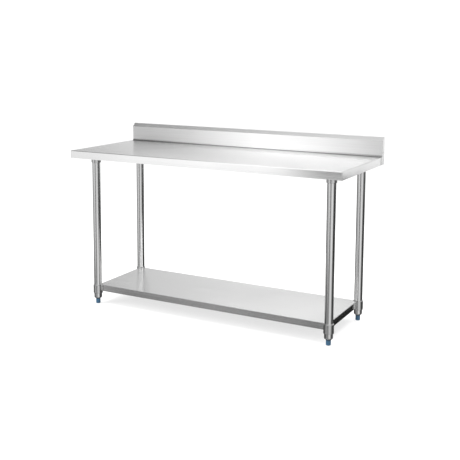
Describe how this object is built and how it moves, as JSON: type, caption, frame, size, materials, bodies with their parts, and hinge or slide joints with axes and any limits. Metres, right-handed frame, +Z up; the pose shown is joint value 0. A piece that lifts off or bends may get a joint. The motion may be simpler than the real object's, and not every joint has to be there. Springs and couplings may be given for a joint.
{
  "type": "stainless work table",
  "caption": "Free-standing stainless kitchen work table with a low raised rear edge, turned-down apron, round tubular legs, height-adjustable undershelf and screw-in levelling feet.",
  "frame": {"origin": "on the floor under the middle of the table's bounding box", "axes": "+X along the table's length to the right, +Y from the front to the raised rear edge, +Z up"},
  "size_m": [1.524, 0.61, 0.95],
  "materials": {
    "brushed_sheet": "brushed along the length",
    "polished_tube": "polished tube",
    "satin_fitting": "satin",
    "channel_steel": "mill finish",
    "zinc_fastener": "bright zinc plated",
    "blue_nylon": "moulded nylon"
  },
  "bodies": {
    "table": {"worktop": "brushed_sheet", "splash_end_cap_left": "brushed_sheet", "splash_end_cap_right": "brushed_sheet", "channel_front": "channel_steel", "channel_back": "channel_steel", "channel_cross": "channel_steel", "weld_studs": "zinc_fastener", "weld_nuts": "zinc_fastener", "socket_set_screws": "zinc_fastener", "leg_socket_front_left": "satin_fitting", "leg_front_left": "polished_tube", "leg_ferrule_front_left": "satin_fitting", "foot_insert_front_left": "zinc_fastener", "leg_socket_front_right": "satin_fitting", "leg_front_right": "polished_tube", "leg_ferrule_front_right": "satin_fitting", "foot_insert_front_right": "zinc_fastener", "leg_socket_back_left": "satin_fitting", "leg_back_left": "polished_tube", "leg_ferrule_back_left": "satin_fitting", "foot_insert_back_left": "zinc_fastener", "leg_socket_back_right": "satin_fitting", "leg_back_right": "polished_tube", "leg_ferrule_back_right": "satin_fitting", "foot_insert_back_right": "zinc_fastener"},
    "undershelf": {"shelf_panel": "brushed_sheet", "shelf_channel": "channel_steel", "shelf_set_screws": "zinc_fastener", "shelf_sleeve_front_left": "satin_fitting", "shelf_sleeve_front_right": "satin_fitting", "shelf_sleeve_back_left": "satin_fitting", "shelf_sleeve_back_right": "satin_fitting"},
    "stud_front_left": {"foot_stud_front_left": "zinc_fastener"},
    "boot_front_left": {"foot_boot_front_left": "blue_nylon"},
    "stud_front_right": {"foot_stud_front_right": "zinc_fastener"},
    "boot_front_right": {"foot_boot_front_right": "blue_nylon"},
    "stud_back_left": {"foot_stud_back_left": "zinc_fastener"},
    "boot_back_left": {"foot_boot_back_left": "blue_nylon"},
    "stud_back_right": {"foot_stud_back_right": "zinc_fastener"},
    "boot_back_right": {"foot_boot_back_right": "blue_nylon"}
  },
  "joints": [
    {"name": "undershelf_height", "type": "slide", "parent": "table", "child": "undershelf", "axis": [0, 0, 1], "range_m": [-0.019, 0.672]},
    {"name": "foot_travel_front_left", "type": "slide", "parent": "table", "child": "stud_front_left", "axis": [0, 0, -1], "range_m": [0, 0.0241]},
    {"name": "foot_turn_front_left", "type": "hinge", "parent": "stud_front_left", "child": "boot_front_left", "pos_m": [-0.674, -0.2, 0.0145], "axis": [0, 0, -1], "range_deg": [0, 5760]},
    {"name": "foot_travel_front_right", "type": "slide", "parent": "table", "child": "stud_front_right", "axis": [0, 0, -1], "range_m": [0, 0.0241]},
    {"name": "foot_turn_front_right", "type": "hinge", "parent": "stud_front_right", "child": "boot_front_right", "pos_m": [0.674, -0.2, 0.0145], "axis": [0, 0, -1], "range_deg": [0, 5760]},
    {"name": "foot_travel_back_left", "type": "slide", "parent": "table", "child": "stud_back_left", "axis": [0, 0, -1], "range_m": [0, 0.0241]},
    {"name": "foot_turn_back_left", "type": "hinge", "parent": "stud_back_left", "child": "boot_back_left", "pos_m": [-0.674, 0.217, 0.0145], "axis": [0, 0, -1], "range_deg": [0, 5760]},
    {"name": "foot_travel_back_right", "type": "slide", "parent": "table", "child": "stud_back_right", "axis": [0, 0, -1], "range_m": [0, 0.0241]},
    {"name": "foot_turn_back_right", "type": "hinge", "parent": "stud_back_right", "child": "boot_back_right", "pos_m": [0.674, 0.217, 0.0145], "axis": [0, 0, -1], "range_deg": [0, 5760]}
  ],
  "couplings": [
    {"joint": "foot_travel_front_left", "follows": "foot_turn_front_left", "m_per_rad": 0.00023873},
    {"joint": "foot_travel_front_right", "follows": "foot_turn_front_right", "m_per_rad": 0.00023873},
    {"joint": "foot_travel_back_left", "follows": "foot_turn_back_left", "m_per_rad": 0.00023873},
    {"joint": "foot_travel_back_right", "follows": "foot_turn_back_right", "m_per_rad": 0.00023873}
  ]
}
